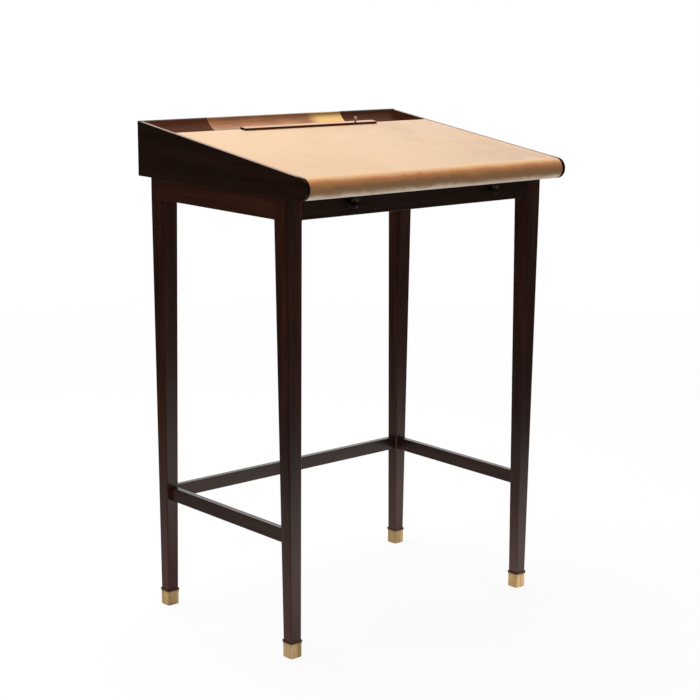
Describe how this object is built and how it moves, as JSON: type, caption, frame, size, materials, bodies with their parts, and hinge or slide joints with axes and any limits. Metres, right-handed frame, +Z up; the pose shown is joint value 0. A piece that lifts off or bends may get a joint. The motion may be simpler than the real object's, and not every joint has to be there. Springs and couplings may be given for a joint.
{
  "type": "clerk's standing desk",
  "caption": "Tall clerk's desk: wedge case with a leather writing slope, coved pen tray, swinging page bar and shallow drawer, on slim tapered legs with brass feet.",
  "frame": {"origin": "on the floor, under the middle of the case's width and depth", "axes": "+X to the writer's right, +Y to the back of the desk, +Z up"},
  "size_m": [0.752, 0.578, 1.1005],
  "materials": {
    "mahogany": "satin",
    "drawer_lining": "matte",
    "dark_hardwood": "satin",
    "aged_brass": "satin",
    "tan_leather": "satin",
    "screw_steel": "satin"
  },
  "bodies": {
    "desk": {"leg_front_left": "mahogany", "leg_front_right": "mahogany", "leg_back_left": "mahogany", "leg_back_right": "mahogany", "apron_left": "mahogany", "apron_right": "mahogany", "apron_back": "mahogany", "drawer_rail": "mahogany", "stretcher_left": "mahogany", "stretcher_right": "mahogany", "stretcher_back": "mahogany", "case_side_left": "mahogany", "case_side_right": "mahogany", "case_back": "mahogany", "writing_panel": "mahogany", "nose_rail": "mahogany", "tray_bed": "mahogany", "case_bottom": "drawer_lining", "cross_bearer": "drawer_lining", "ledger_left": "drawer_lining", "ledger_right": "drawer_lining", "runner_left": "drawer_lining", "runner_right": "drawer_lining", "guide_left": "drawer_lining", "guide_right": "drawer_lining", "drawer_stop_left": "drawer_lining", "drawer_stop_right": "drawer_lining", "sabot_front_left": "aged_brass", "sabot_front_right": "aged_brass", "sabot_back_left": "aged_brass", "sabot_back_right": "aged_brass", "tray_liner": "aged_brass", "bar_washer": "aged_brass", "bar_pin": "aged_brass", "leather_cover": "tan_leather", "case_screws": "screw_steel"},
    "drawer": {"drawer_front": "mahogany", "drawer_side_left": "drawer_lining", "drawer_side_right": "drawer_lining", "drawer_back": "drawer_lining", "drawer_bottom": "drawer_lining", "knob_left": "dark_hardwood", "knob_right": "dark_hardwood"},
    "bar": {"page_bar": "dark_hardwood"}
  },
  "joints": [
    {"name": "drawer_slide", "type": "slide", "parent": "desk", "child": "drawer", "axis": [0, -1, 0], "range_m": [0, 0.28]},
    {"name": "page_bar_swing", "type": "hinge", "parent": "desk", "child": "bar", "pos_m": [0.134, 0.15258, 1.0821], "axis": [0, -0.1301, 0.9915], "range_deg": [0, 90]}
  ]
}
